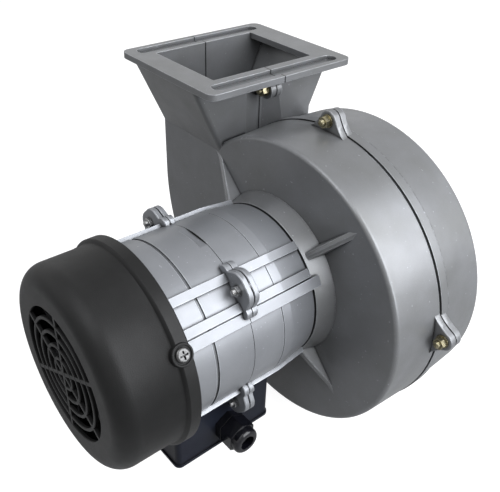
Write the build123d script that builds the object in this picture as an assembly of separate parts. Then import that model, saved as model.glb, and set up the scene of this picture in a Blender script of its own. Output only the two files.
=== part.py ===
from build123d import *
from math import atan2, cos, degrees, radians, sin, sqrt, tan
import os

# Centrifugal blower: a scroll casing split in two cast shells, a finned motor
# bolted to its front, and a plastic cover over the cooling fan.
# Millimetres. The shaft runs along Y, the motor on the minus Y side, Z is up.
# It is drawn about the shaft axis, from the plane where the motor meets the casing,
# and written out from the middle of the outlet on the face of the discharge flange.

# Fits and clearances
slip = 0.2
running = 0.05
air = 0.5
far = 400.0

# Scroll casing
wall = 3.0
casing_front = 15.0
casing_split = 59.5
casing_back = 110.0
scroll_radius = 122.0
scroll_x = 5.0
scroll_z = -9.0
draft_angle = 2.6
casing_round = 3.0
duct_round = 4.0
duct_left = -153.0
duct_right = -69.5
flare_join = 5.0
flare_front_z = 77.0
flare_back_z = 88.0
split_groove = 0.9
band_width = 9.0
band_height = 0.7

# Discharge flange on top of the duct
flange_top = 137.0
flange_thick = 5.0
flare_edge = 1.0
flange_left = -171.5
flange_right = -48.0
flange_front = -11.5
flange_back = 134.0
flange_corner = 7.0
outlet_half = 50.5
groove_width = 12.0
groove_depth = 3.3
groove_margin = 5.0
groove_end_gap = 10.0

# Hollow in the duct wall along the split
valley_depth = 7.5
valley_front = 39.0
valley_floor = 2.5
valley_back_top = 70.0
valley_back_low = 83.0
valley_low_z = 70.0

# Bolt ears on the casing split
ear_radius = 7.5
ear_foot = 15.0
ear_root = 5.0
ear_hollow = 1.2
neck_ear_foot = 8.5
ear_thick = 5.5
ear_reach = 7.5
ear_angles = (90.0, 4.0, -82.0)
neck_ear_z = 122.5
neck_ear_gap = 5.5
casing_bolt = 5.0
casing_nut = 8.0
casing_nut_height = 4.7
casing_bolt_end = 2.5
washer_radius = 5.0
washer_thick = 1.0

# Raised hub in the middle of the casing front
hub_front_radius = 62.5
hub_foot_radius = 67.0
hub_plate = 5.0
hub_wall = 4.0
gusset_angles = (45.0, 135.0, -45.0, -135.0)
gusset_reach = 101.0
gusset_thick = 5.0

# Motor shells
motor_radius = 65.5
motor_end_radius = 60.5
motor_wall = 4.5
motor_back = -128.0
motor_split = -61.0
motor_taper_start = -26.0
end_wall = 5.0
ring_groove_y = -91.7
ring_groove_width = 2.2
ring_groove_depth = 1.1
score_y = -34.0
score_width = 0.6
score_depth = 0.4
label_flat_height = 64.2
label_flat_length = 6.0
motor_corner_angles = (45.0, 135.0, -45.0, -135.0)
rib_inner = 7.5
rib_width = 6.4
rib_top = 67.0
rib_front_top = 64.2
rib_taper_start = -30.0
rib_end_gap = 2.0
side_rib_inner = 14.9
side_rib_width = 8.0
side_rib_top = 63.6
side_rib_tilt = -14.0
side_rib_nose = 4.0

# Screws that hold the motor, from inside the casing into the motor front shell
motor_screw = 6.0
motor_screw_circle = 50.0
motor_screw_angles = (0.0, 90.0, 180.0, 270.0)
motor_screw_boss = 7.0
motor_screw_depth = 10.0

# Bolt ears on the motor split
clamp_height = 72.5
clamp_ear_radius = 9.0
clamp_ear_thick = 4.2
clamp_bolt = 4.0
clamp_nut = 7.0
clamp_nut_height = 3.2
lobe_offset = 15.0
lobe_radius = 4.6
lobe_height = 65.5
strap_top = 67.6

# Fan cover
cover_wall = 2.5
cover_radius = 73.3
cover_rim_radius = 76.5
cover_rim_front = -113.0
cover_rim_back = -122.0
cover_end = -168.5
cover_shoulder = 14.0
cover_screw = 5.0
cover_screw_y = -119.5
cover_screw_angles = (30.0, 150.0, 270.0)
cover_seat_radius = 6.0
cover_seat_depth = 1.6
cover_washer_thick = 0.8
cover_boss_radius = 7.5
cover_boss_overlap = 0.5
grille_radius = 48.0
grille_slot = 6.2
grille_pitch = 9.6
grille_rows = 4
grille_spokes = 6
grille_spoke = 4.6
grille_first = 30.0

# Shaft, bearings and seal
shaft_motor = 22.0
shaft_bearing = 15.0
shaft_end = 14.0
bearing_outside = 35.0
bearing_width = 11.0
bearing_balls = 7
ball_size = 6.0
race_wall = 3.0
front_bearing_y = -17.0
back_bearing_y = -122.5
wave_gap = 1.5
shaft_back = -161.0
shaft_front = 55.5
hub_seat = 22.0
end_bolt_depth = 18.0
seal_width = 5.0
seal_outside = 28.0

# Stator and rotor
core_back = -96.0
core_front = -26.0
stator_bore = 66.0
air_gap = 0.4
winding_inner = 36.0
winding_outer = 57.0
winding_length = 11.0
end_ring_length = 8.0

# Cooling fan
fan_back = -158.0
fan_front = -133.0
fan_radius = 64.0
fan_blades = 7
fan_blade_thick = 3.0
fan_disc = 2.5
fan_hub_radius = 12.0
clip_width = 1.2

# Impeller
wheel_radius = 90.0
wheel_eye = 54.0
blade_inner = 66.0
wheel_back = 26.0
wheel_front = 98.0
plate = 2.0
blade_count = 24
blade_thick = 1.5
blade_lean = 15.0
wheel_hub_radius = 20.0
wheel_hub_flange = 32.0
wheel_hub_length = 34.0
rivet_circle = 26.0
rivet_radius = 2.5
rivet_count = 6
key_width = 5.0
key_length = 20.0
end_bolt = 6.0
end_bolt_hex = 10.0
end_bolt_head = 4.0
end_washer = 2.5

# Inlet on the back of the casing
inlet_radius = 50.0
inlet_collar = 58.0
inlet_collar_height = 4.0
inlet_lip_end = 100.5
guard_wire = 1.8
guard_rings = (12.0, 21.5, 31.0, 40.5)
guard_centre = 5.0
guard_screw_circle = 63.0
guard_ear = 6.0
guard_screw = 4.0
guard_screw_angles = (45.0, 135.0, 225.0, 315.0)

# Terminal box under the motor
box_half_width = 40.0
box_back = -110.0
box_front = -22.0
box_bottom = -100.5
box_wall = 3.5
box_corner = 4.0
box_air = 2.9
gasket_thick = 1.0
lid_thick = 3.0
lid_proud = 1.0
pad_half_angle = 17.0
pad_back = -104.0
pad_front = -28.0
box_screw = 5.0
box_screw_x = 12.0
box_screw_y = (-92.0, -40.0)
box_screw_top = 62.2
box_screw_seat = 74.0
lid_screw = 4.0
lid_boss = 4.5
lid_screw_inset = 7.0
lid_boss_top = -84.0
block_half_width = 9.0
block_half_length = 17.0
block_height = 11.0
stud_rows = 3
stud_pitch = 11.0
stud_radius = 2.0
block_screw = 3.0

# Cable gland
gland_y = -64.0
gland_z = -85.5
gland_thread = 9.0
gland_hex = 22.0
gland_body_hex_length = 6.0
gland_body_length = 14.0
gland_nut_length = 12.0
gland_nose_length = 6.5
gland_nose_round = 3.0
gland_bore = 6.0
gland_tail = 9.0
gland_seal_length = 5.0


def slab(outline, start, end):
    """Outline drawn in X and Z, made solid from start to end along Y."""
    return extrude(Plane.XZ.offset(-start) * outline, amount=start - end)


def turned(*points):
    """Solid of revolution about the shaft from (radius, y) corner points."""
    return revolve(make_face(Polyline(*points, close=True)), Axis.Y)


def tube(outer, inner, start, end):
    return slab(Circle(outer) - Circle(inner), start, end)


def rod(radius, start, end, x=0.0, z=0.0):
    return slab(Pos(x, z) * Circle(radius), start, end)


def turn(shape, angle):
    """Turn a shape about the shaft, X towards Z."""
    return Rot(0, -angle, 0) * shape


def around(shape, angles):
    return [turn(shape, angle) for angle in angles]


def block(x0, x1, y0, y1, z0, z1):
    return Pos((x0 + x1) / 2, (y0 + y1) / 2, (z0 + z1) / 2) * Box(x1 - x0, y1 - y0, z1 - z0)


def at_circle(radius, angle, x=0.0, z=0.0):
    return x + radius * cos(radians(angle)), z + radius * sin(radians(angle))


def pan_head(size, height):
    """Rounded screw head that stands on Z zero."""
    head = Cylinder(size, height, align=(Align.CENTER, Align.CENTER, Align.MIN))
    head = fillet(head.edges().sort_by(Axis.Z)[-1], height * 0.55)
    arm = Box(size * 1.15, size * 0.22, height)
    recess = Pos(0, 0, height * 0.95) * (arm + Rot(0, 0, 90) * arm)
    return head - recess


def screw(size, length):
    """Pan head screw with its head on Z zero and its thread going down."""
    shank = Cylinder(size / 2, length, align=(Align.CENTER, Align.CENTER, Align.MAX))
    return pan_head(size, size * 0.62) + shank


def hex_nut(size, height, bore):
    nut = extrude(RegularPolygon(size / sqrt(3), 6), height)
    return nut - Cylinder(bore, height * 3)


def toward_front(x, y, z):
    """Place a part so that its Z axis points along minus Y."""
    return Pos(x, y, z) * Rot(90, 0, 0)


def toward_back(x, y, z):
    return Pos(x, y, z) * Rot(-90, 0, 0)


# Scroll casing outline
big_z = scroll_z - scroll_radius + scroll_x - duct_left
flange_under = flange_top - flange_thick


def scroll_outline(inset, top=flange_under, lean=0.0):
    """Duct and scroll seen along the shaft, inset all round, its round part leaning in further."""
    radius = scroll_radius - inset - lean
    left = duct_left + inset
    right = duct_right - inset
    reach = sqrt(radius**2 - (scroll_x - right) ** 2)
    start_angle = degrees(atan2(reach, right - scroll_x))
    corner_z = scroll_z - radius + scroll_x - left
    side = Line((left, top), (left, corner_z))
    big = CenterArc((scroll_x, corner_z), scroll_x - left, 180, 90)
    small = CenterArc((scroll_x, scroll_z), radius, -90, start_angle + 90)
    neck = Line((right, scroll_z + reach), (right, top))
    lid = Line((right, top), (left, top))
    return make_face([side, big, small, neck, lid])


def scroll_body(inset, front):
    """Scroll and duct of one shell, from the split to its far face, the round part drafted."""
    end = casing_front + inset if front else casing_back - inset
    lean = tan(radians(draft_angle)) * abs(end - casing_split)
    base = Plane.XZ.offset(-casing_split) * scroll_outline(inset)
    tip = Plane.XZ.offset(-end) * scroll_outline(inset, flange_under, lean)
    return loft([base, tip], ruled=True)


def duct_flare(inset, front):
    """Wedge that widens the duct of one shell towards the end of the flange."""
    slope = (casing_front - flange_front - flare_edge) / (flange_under - flare_front_z)
    bend = flare_front_z if front else flare_back_z
    face = casing_front if front else casing_back
    out = -1 if front else 1
    offset = inset * sqrt(1 + slope**2)
    low = bend - flare_join
    points = [(casing_split, z) for z in (low, flange_under)]
    points += [(face + out * (slope * (z - bend) - offset), z) for z in (flange_under, low)]
    profile = Plane.YZ * make_face(Polyline(*points, close=True))
    return Pos(duct_left + inset, 0, 0) * extrude(profile, duct_right - duct_left - 2 * inset)


def valley(grow):
    """Hollow in the right duct wall where the two shells meet."""
    floor_x = duct_right - valley_depth - grow
    out_x = duct_right + wall
    split = casing_split
    deep = [(floor_x, split - valley_floor - grow), (floor_x, split + valley_floor + grow)]

    def section(back, z):
        points = [(duct_right, valley_front - grow), *deep, (duct_right, back + grow)]
        points += [(out_x, back + grow), (out_x, valley_front - grow)]
        return Pos(0, 0, z) * make_face(Polyline(*points, close=True))

    top_section = section(valley_back_top, flange_under)
    return loft([section(valley_back_low, valley_low_z), top_section])


def casing_half(front):
    """One shell of the casing and its duct as a full body, without its hollow."""
    body = scroll_body(0.0, front)
    wedge = duct_flare(0.0, front)
    body_rim = [edge for edge in outer_rim(body, front) if abs((edge @ 0.5).X - duct_right) > air]
    return fillet(body_rim, casing_round) + fillet(outer_rim(wedge, front), duct_round)


def outer_rim(solid, front):
    """Edges round the far face of a shell, without those that lie flat across the duct."""
    rim = []
    for edge in solid.edges():
        middle = edge @ 0.5
        across = abs((edge % 0.5).X) > 0.99 and middle.Z > scroll_z
        outside = middle.Y < casing_front + 1.5 * wall if front else middle.Y > casing_back - 1.5 * wall
        if outside and not across:
            rim.append(edge)
    return rim



def casing_hollow(front):
    return scroll_body(wall, front) + duct_flare(wall, front)


def half_space(front):
    if front:
        return block(-far, far, -far, casing_split, -far, far)
    return block(-far, far, casing_split, far, -far, far)


def flange_plate():
    """Flange with the outlet cut through and a blind groove on either long side."""
    width = flange_right - flange_left
    depth = flange_back - flange_front
    middle = ((flange_left + flange_right) / 2, (flange_front + flange_back) / 2)
    plate_face = Pos(*middle) * RectangleRounded(width, depth, flange_corner)
    solid = Pos(0, 0, flange_under) * extrude(plate_face, flange_thick)
    groove_length = depth - 2 * groove_end_gap
    for x in (flange_left + groove_margin + groove_width / 2,
              flange_right - groove_margin - groove_width / 2):
        groove = Pos(x, middle[1]) * RectangleRounded(groove_width, groove_length, groove_width / 2.2)
        solid -= Pos(0, 0, flange_top - groove_depth) * extrude(groove, groove_depth + air)
    return solid


def outlet_cut():
    return block(duct_left + wall, duct_right - wall, casing_split - outlet_half, casing_split + outlet_half,
                 flange_under - wall, flange_top + wall)


def casing_ears(front, reach):
    """Round lugs along the split of the casing."""
    start = casing_split - reach if front else casing_split
    end = casing_split if front else casing_split + reach
    lugs = None
    for x, z, angle, foot in ear_places():
        lug = slab(Pos(x, z) * Rot(0, 0, angle) * ear_shape(foot), start, end)
        lugs = lug if lugs is None else lugs + lug
    return lugs


def ear_shape(foot):
    """Lug round a bolt with hollow flanks that run out into the wall behind it."""
    root = -ear_reach - ear_root
    waist = (ear_radius + foot) / 2 - ear_hollow
    upper = ThreePointArc((0, ear_radius), (root / 2, waist), (root, foot))
    lower = ThreePointArc((0, -ear_radius), (root / 2, -waist), (root, -foot))
    tip = Line((0, -ear_radius), (0, ear_radius))
    base = Line((root, foot), (root, -foot))
    return Circle(ear_radius) + make_face([tip, upper, base, lower])


def ear_places():
    """Centre, outward angle and half width at the foot of each ear on the split."""
    places = []
    for angle in ear_angles:
        x, z = at_circle(scroll_radius + ear_reach, angle, scroll_x, scroll_z)
        places.append((x, z, angle, ear_foot))
    places.append((duct_left - ear_reach, big_z, 180.0, ear_foot))
    places.append((duct_right - valley_depth + ear_radius + neck_ear_gap, neck_ear_z, 0.0, neck_ear_foot))
    places.append((duct_left - ear_reach, neck_ear_z, 180.0, neck_ear_foot))
    return places


def gussets():
    """Four triangular webs from the hub to the casing front."""
    low = hub_front_radius - 4.0
    points = [(low, casing_front + 1), (low, 2.0), (hub_front_radius, 2.0)]
    points += [(gusset_reach, casing_front), (gusset_reach, casing_front + 1)]
    web = extrude(make_face(Polyline(*points, close=True)), gusset_thick / 2, both=True)
    return around(web, gusset_angles)


def hub_cone(grow):
    return turned((0, 0), (hub_front_radius + grow, 0), (hub_foot_radius + grow, casing_front), (0, casing_front))


def volute_front_shell():
    solid = casing_half(True)
    solid += flange_plate() & half_space(True)
    solid += casing_ears(True, ear_thick)
    solid += hub_cone(0.0)
    for web in gussets():
        solid += web
    solid -= valley(0.0) - casing_ears(True, ear_thick)
    solid -= casing_hollow(True) - valley(wall)
    solid -= outlet_cut()
    inner_foot = hub_foot_radius - hub_wall
    solid -= turned((0, hub_plate), (hub_front_radius - hub_wall, hub_plate), (inner_foot, casing_front),
                    (inner_foot, casing_front + wall + air), (0, casing_front + wall + air))
    solid -= rod(seal_outside / 2, -air, hub_plate + air)
    for angle in motor_screw_angles:
        x, z = at_circle(motor_screw_circle, angle)
        solid -= rod(motor_screw / 2 + slip, -air, hub_plate + air, x, z)
    return finish_split(solid, True)


def finish_split(solid, front):
    """Ear holes and the groove that shows along the split."""
    start = casing_split - ear_thick - air if front else casing_split - air
    for x, z, _, _ in ear_places():
        solid -= rod(casing_bolt / 2 + slip, start, start + ear_thick + 2 * air, x, z)
    step = split_groove
    rim = scroll_outline(-band_width) - scroll_outline(step)
    end = casing_split - step if front else casing_split + step
    ring = slab(rim, min(end, casing_split), max(end, casing_split))
    keep = casing_ears(front, ear_thick) + block(-far, far, -far, far, neck_ear_z - ear_foot, far)
    return solid - (ring - keep)


def volute_rear_shell():
    solid = casing_half(False)
    solid += flange_plate() & half_space(False)
    solid += slab(scroll_outline(-band_height, flare_front_z), casing_split, casing_split + band_width)
    solid += casing_ears(False, ear_thick)
    solid += rod(inlet_collar, casing_back - 1, casing_back + inlet_collar_height)
    for angle in guard_screw_angles:
        x, z = at_circle(guard_screw_circle, angle)
        solid += rod(guard_screw + 2, casing_back - 1, casing_back + inlet_collar_height, x, z)
    solid -= valley(0.0) - casing_ears(False, ear_thick)
    solid -= casing_hollow(False) - valley(wall)
    solid -= outlet_cut()
    solid += tube(inlet_radius + wall, inlet_radius, inlet_lip_end, casing_back)
    solid -= rod(inlet_radius, inlet_lip_end - 1, casing_back + inlet_collar_height + 1)
    for angle in guard_screw_angles:
        x, z = at_circle(guard_screw_circle, angle)
        solid -= rod(guard_screw / 2 + running, casing_back - wall + air, casing_back + inlet_collar_height + 1, x, z)
    return finish_split(solid, False)


def motor_ribs(start, end):
    """Pairs of flat ribs at the four corners of the motor."""
    parts = []
    for angle in motor_corner_angles:
        for side in (1, -1):
            if side < 0 and angle == -45.0 or side > 0 and angle == -135.0:
                continue
            s0 = side * rib_inner
            s1 = side * (rib_inner + rib_width)
            points = [(motor_wall_mid, start), (rib_top, start)]
            if end > rib_taper_start:
                points += [(rib_top, rib_taper_start), (rib_front_top, end), (motor_wall_mid, end)]
            else:
                points += [(rib_top, end), (motor_wall_mid, end)]
            web = extrude(make_face(Polyline(*points, close=True)), s1 - s0)
            parts.append(turn(Pos(0, 0, s0) * web, angle))
    return parts


motor_wall_mid = motor_end_radius - motor_wall + 1.0


def side_rib(start, end):
    """The wider strip beside the right upper rib pair."""
    middle = side_rib_inner + side_rib_width / 2
    height = 6.0
    bar = block(side_rib_top - height, side_rib_top, start, end,
                -side_rib_width / 2, side_rib_width / 2)
    bar = Rot(0, -side_rib_tilt, 0) * Pos(-side_rib_top, 0, 0) * bar
    return turn(Pos(side_rib_top, 0, -middle) * bar, 45.0)


def clamp_ears(front):
    """Strap with a round ear and two small lobes, at each corner of the split."""
    start = motor_split if front else motor_split - clamp_ear_thick
    parts = []
    for angle in motor_corner_angles:
        shape = Pos(clamp_height, 0) * Circle(clamp_ear_radius)
        shape += make_face(Polyline((58, -clamp_ear_radius - 2), (clamp_height, -clamp_ear_radius),
                                    (clamp_height, clamp_ear_radius), (58, clamp_ear_radius + 2), close=True))
        for side in (1, -1):
            if side < 0 and angle == -45.0 or side > 0 and angle == -135.0:
                continue
            shape += Pos(lobe_height, side * lobe_offset) * Circle(lobe_radius)
            low = min(0, side * lobe_offset) if side < 0 else 0
            width = lobe_offset
            shape += Pos((58 + strap_top) / 2, low + width / 2) * Rectangle(strap_top - 58, width)
        lug = slab(shape, start, start + clamp_ear_thick)
        parts.append(turn(lug, angle))
    return parts


def box_pad(start, end):
    """Saddle under the motor that carries the terminal box."""
    reach = motor_radius + box_air
    edge = reach * sin(radians(pad_half_angle))
    sector = make_face(Polyline((-edge * 0.8, -50), (edge * 0.8, -50), (edge, -80), (-edge, -80), close=True))
    return slab(Circle(reach) & sector, start, end)


def box_screw_holes(solid):
    for x, y in box_screw_places():
        depth = motor_radius + box_air - box_screw_top
        solid -= Pos(x, y, -motor_radius - box_air) * Cylinder(box_screw / 2 + running, 2 * depth)
    return solid


def box_screw_places():
    return [(x, y) for y in box_screw_y for x in (-box_screw_x, box_screw_x)]


def surface_groove(y, width, depth):
    """Ring groove in the motor skin that stops at the ribs."""
    ring = tube(motor_radius + 1, motor_radius - depth, y - width / 2, y + width / 2)
    for rib in motor_ribs(y - width, y + width):
        ring -= rib
    return ring - side_rib(y - width, y + width)


def motor_rear_shell():
    solid = rod(motor_radius, motor_back, motor_split)
    ribs_start = cover_rim_front - 6
    for rib in motor_ribs(ribs_start, motor_split):
        solid += rib
    solid += side_rib(ribs_start, motor_split)
    for lug in clamp_ears(False):
        solid += lug
    solid += box_pad(pad_back, motor_split)
    for angle in cover_screw_angles:
        boss = Pos(0, cover_screw_y, 0) * Rot(0, 90, 0) * Cylinder(
            cover_boss_radius, cover_radius - cover_wall - cover_boss_overlap, align=up)
        solid += turn(boss, angle)
    inside = motor_radius - motor_wall
    solid -= rod(inside, motor_back + end_wall, motor_split + air)
    hub = bearing_outside / 2 + 6
    solid += rod(hub, motor_back, back_bearing_y + bearing_width)
    solid -= rod(bearing_outside / 2, back_bearing_y - wave_gap, motor_split)
    solid -= rod(shaft_bearing / 2 + air, motor_back - air, motor_split)
    solid -= surface_groove(ring_groove_y, ring_groove_width, ring_groove_depth)
    solid -= block(-30, 30, motor_split - label_flat_length, motor_split, label_flat_height, 90)
    for angle in motor_corner_angles:
        x, z = at_circle(clamp_height, angle)
        solid -= rod(clamp_bolt / 2 + slip, motor_split - 2 * clamp_ear_thick, motor_split + air, x, z)
    for angle in cover_screw_angles:
        hole = Pos(motor_radius, cover_screw_y, 0) * Rot(0, 90, 0) * Cylinder(cover_screw / 2 + running, 24)
        solid -= turn(hole, angle)
    return box_screw_holes(solid)


def motor_front_shell():
    solid = turned((0, motor_split), (motor_radius, motor_split), (motor_radius, motor_taper_start),
                   (motor_end_radius + 1.5, -2), (motor_end_radius, 0), (0, 0))
    for rib in motor_ribs(motor_split, -rib_end_gap):
        solid += rib
    solid += side_rib(motor_split, side_rib_nose) - hub_cone(air)
    for lug in clamp_ears(True):
        solid += lug
    solid += box_pad(motor_split, pad_front)
    inside = motor_radius - motor_wall
    solid -= turned((0, motor_split - air), (inside, motor_split - air), (inside, core_front),
                    (motor_end_radius - motor_wall, -end_wall), (0, -end_wall))
    hub = bearing_outside / 2 + 6
    solid += rod(hub, front_bearing_y, 0)
    for angle in motor_screw_angles:
        x, z = at_circle(motor_screw_circle, angle)
        solid += rod(motor_screw_boss, -motor_screw_depth - 2, 0, x, z)
    solid -= rod(bearing_outside / 2, motor_split, front_bearing_y + bearing_width)
    solid -= rod(shaft_bearing / 2 + air, motor_split, air)
    solid -= surface_groove(score_y, score_width, score_depth)
    for angle in motor_corner_angles:
        x, z = at_circle(clamp_height, angle)
        solid -= rod(clamp_bolt / 2 + slip, motor_split - air, motor_split + 2 * clamp_ear_thick, x, z)
    for angle in motor_screw_angles:
        x, z = at_circle(motor_screw_circle, angle)
        solid -= rod(motor_screw / 2 + running, -motor_screw_depth, air, x, z)
    return box_screw_holes(solid)


def ear_bolts():
    length = 2 * ear_thick + washer_thick + casing_nut_height + casing_bolt_end
    head = casing_split + ear_thick
    return [toward_back(x, head, z) * screw(casing_bolt, length) for x, z, _, _ in ear_places()]


def ear_washers():
    ring = Cylinder(washer_radius, washer_thick, align=up) - Cylinder(casing_bolt / 2 + slip, 9)
    return [toward_front(x, casing_split - ear_thick, z) * ring for x, z, _, _ in ear_places()]


def ear_nuts():
    nut = hex_nut(casing_nut, casing_nut_height, casing_bolt / 2 + running)
    seat = casing_split - ear_thick - washer_thick
    return [toward_front(x, seat, z) * nut for x, z, _, _ in ear_places()]


def inlet_guard():
    start = casing_back + inlet_collar_height
    guard = Circle(inlet_collar) - Circle(inlet_radius - 1)
    for angle in guard_screw_angles:
        guard += Pos(*at_circle(guard_screw_circle, angle)) * Circle(guard_ear)
    guard -= Circle(inlet_radius - 1)
    for radius in guard_rings:
        guard += Circle(radius + guard_wire / 2) - Circle(radius - guard_wire / 2)
    for angle in guard_screw_angles[:2]:
        guard += Rot(0, 0, angle) * Rectangle(2 * inlet_radius, guard_wire)
    guard += Circle(guard_centre)
    for angle in guard_screw_angles:
        guard -= Pos(*at_circle(guard_screw_circle, angle)) * Circle(guard_screw / 2 + slip)
    return slab(guard, start, start + guard_wire)


def inlet_guard_screws():
    seat = casing_back + inlet_collar_height + guard_wire
    fixing = screw(guard_screw, inlet_collar_height + guard_wire + 1.5)
    places = [at_circle(guard_screw_circle, angle) for angle in guard_screw_angles]
    return [toward_back(x, seat, z) * fixing for x, z in places]


def clamp_bolts():
    length = 2 * clamp_ear_thick + clamp_nut_height + 2.5
    places = [at_circle(clamp_height, angle) for angle in motor_corner_angles]
    return [toward_back(x, motor_split + clamp_ear_thick, z) * screw(clamp_bolt, length) for x, z in places]


def clamp_nuts():
    nut = hex_nut(clamp_nut, clamp_nut_height, clamp_bolt / 2 + running)
    places = [at_circle(clamp_height, angle) for angle in motor_corner_angles]
    return [toward_front(x, motor_split - clamp_ear_thick, z) * nut for x, z in places]


def motor_mount_screws():
    fixing = screw(motor_screw, hub_plate + motor_screw_depth - 1)
    places = [at_circle(motor_screw_circle, angle) for angle in motor_screw_angles]
    return [toward_back(x, hub_plate, z) * fixing for x, z in places]


def shaft_seal():
    lip = shaft_bearing / 2 + running
    outer = seal_outside / 2
    return turned((lip, 0.8), (lip + 2, 0), (outer, 0), (outer, seal_width), (outer - 2, seal_width),
                  (outer - 2, 1.5), (lip + 2.5, 1.5), (lip + 1, 3.2), (lip, 3.2))


def stator_core():
    return tube(motor_radius - motor_wall, stator_bore / 2, core_back, core_front)


def stator_windings():
    rings = []
    for start, end in ((core_back - winding_length, core_back), (core_front, core_front + winding_length)):
        ring = tube(winding_outer, winding_inner, start, end)
        outside = ring.edges().filter_by(GeomType.CIRCLE)
        outside = outside.filter_by(lambda edge, s=start, e=end: abs(edge.center().Y - (s if s < -50 else e)) < 0.1)
        rings.append(fillet(outside, 4.0))
    return rings


def bearing_ring(outside, start):
    """One ring of a deep groove ball bearing."""
    middle = start + bearing_width / 2
    pitch = (bearing_outside + shaft_bearing) / 4
    outer, inner = bearing_outside / 2, bearing_outside / 2 - race_wall
    if not outside:
        outer, inner = shaft_bearing / 2 + race_wall, shaft_bearing / 2
    race = Pos(pitch, middle) * Circle(ball_size / 2 + running)
    profile = Pos((outer + inner) / 2, middle) * Rectangle(outer - inner, bearing_width) - race
    return revolve(profile, Axis.Y)


def bearing_ball_set(start):
    pitch = (bearing_outside + shaft_bearing) / 4
    places = [at_circle(pitch, 360 / bearing_balls * index) for index in range(bearing_balls)]
    return [Pos(x, start + bearing_width / 2, z) * Sphere(ball_size / 2) for x, z in places]


def bearing_cage(start):
    """Snap cage that carries the balls between the two rings."""
    pitch = (bearing_outside + shaft_bearing) / 4
    middle = start + bearing_width / 2
    ring = tube(pitch + 0.8, pitch - 0.8, middle - 2, middle + 2)
    for ball in bearing_ball_set(start):
        ring -= ball
    return ring


def wave_washer():
    start = back_bearing_y - wave_gap
    return tube(bearing_outside / 2 - slip, bearing_outside / 2 - race_wall, start, back_bearing_y)


def shaft():
    step = shaft_bearing / 2
    thin = shaft_end / 2
    back_seat = back_bearing_y + bearing_width
    body = turned((0, shaft_back), (thin, shaft_back), (thin, back_bearing_y - 2), (step, back_bearing_y - 2),
                  (step, back_seat), (shaft_motor / 2, back_seat), (shaft_motor / 2, front_bearing_y),
                  (step, front_bearing_y), (step, hub_seat), (thin, hub_seat), (thin, shaft_front), (0, shaft_front))
    body -= key_block(running)
    body -= rod(end_bolt / 2 + running, shaft_front - end_bolt_depth, shaft_front + air)
    groove_y = fan_back - clip_width
    body -= tube(thin + air, thin - 0.8, groove_y, fan_back)
    return body


def key_block(grow):
    half = key_width / 2 + grow
    low = shaft_end / 2 - key_width * 0.6
    start = hub_seat + 4
    return block(-half, half, start - grow, start + key_length + grow, low - grow, low + key_width)


def rotor_core():
    return tube(stator_bore / 2 - air_gap, shaft_motor / 2, core_back, core_front)


def rotor_end_rings():
    outer, inner = stator_bore / 2 - 2, shaft_motor / 2 + 7
    return [tube(outer, inner, core_back - end_ring_length, core_back),
            tube(outer, inner, core_front, core_front + end_ring_length)]


def cooling_fan():
    solid = rod(fan_hub_radius, fan_back, fan_front) + rod(fan_radius, fan_front - fan_disc, fan_front)
    blade = block(fan_hub_radius - 2, fan_radius, fan_back, fan_front, -fan_blade_thick / 2, fan_blade_thick / 2)
    for index in range(fan_blades):
        solid += turn(blade, 360 / fan_blades * index)
    return solid - rod(shaft_end / 2, fan_back - 1, fan_front + 1)


def fan_clip():
    inner = shaft_end / 2 - 0.8
    ring = Circle(shaft_end / 2 + 2.8) - Circle(inner) - Pos(0, -inner) * Rectangle(inner, 2 * inner)
    return slab(ring, fan_back - clip_width, fan_back)


def impeller_hub():
    solid = rod(wheel_hub_radius, hub_seat, hub_seat + wheel_hub_length)
    solid += rod(wheel_hub_flange, hub_seat, wheel_back)
    solid -= rod(shaft_end / 2, hub_seat - 1, hub_seat + wheel_hub_length + 1)
    for x, z in rivet_places():
        solid -= rod(rivet_radius, hub_seat - 1, wheel_back + 1, x, z)
    half = key_width / 2 + running
    top = shaft_end / 2 - key_width * 0.6 + key_width + slip
    return solid - block(-half, half, hub_seat - 1, hub_seat + wheel_hub_length + 1, 0, top)


def rivet_places():
    return [at_circle(rivet_circle, 360 / rivet_count * index) for index in range(rivet_count)]


def impeller_backplate():
    solid = tube(wheel_radius, wheel_hub_radius, wheel_back, wheel_back + plate)
    for x, z in rivet_places():
        solid -= rod(rivet_radius, wheel_back - 1, wheel_back + plate + 1, x, z)
    return solid


def impeller_rivets():
    rivets = []
    for x, z in rivet_places():
        rivet = rod(rivet_radius, hub_seat, wheel_back + plate, x, z)
        rivet += rod(rivet_radius * 1.7, hub_seat - 1.5, hub_seat, x, z)
        rivet += rod(rivet_radius * 1.7, wheel_back + plate, wheel_back + plate + 1.5, x, z)
        rivets.append(rivet)
    return rivets


def impeller_blades():
    """Forward curved blades between the back plate and the shroud."""
    middle = (blade_inner + wheel_radius) / 2
    start = (blade_inner, 0)
    end = at_circle(wheel_radius - 1, -blade_lean)
    line = ThreePointArc(start, at_circle(middle, -blade_lean * 0.28), end)
    blade = slab(trace(line, blade_thick), wheel_back + plate, wheel_front - plate)
    return [turn(blade, 360 / blade_count * index) for index in range(blade_count)]


def impeller_shroud():
    return tube(wheel_radius, wheel_eye, wheel_front - plate, wheel_front)


def shaft_key():
    return key_block(0.0)


def impeller_washer():
    start = hub_seat + wheel_hub_length
    return tube(wheel_hub_radius * 0.7, end_bolt / 2 + slip, start, start + end_washer)


def impeller_bolt():
    start = hub_seat + wheel_hub_length + end_washer
    head = extrude(RegularPolygon(end_bolt_hex / sqrt(3), 6), end_bolt_head)
    bolt = head + Cylinder(end_bolt / 2, start - shaft_front + end_bolt_depth - 2, align=down)
    return toward_back(0, start, 0) * bolt


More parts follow.
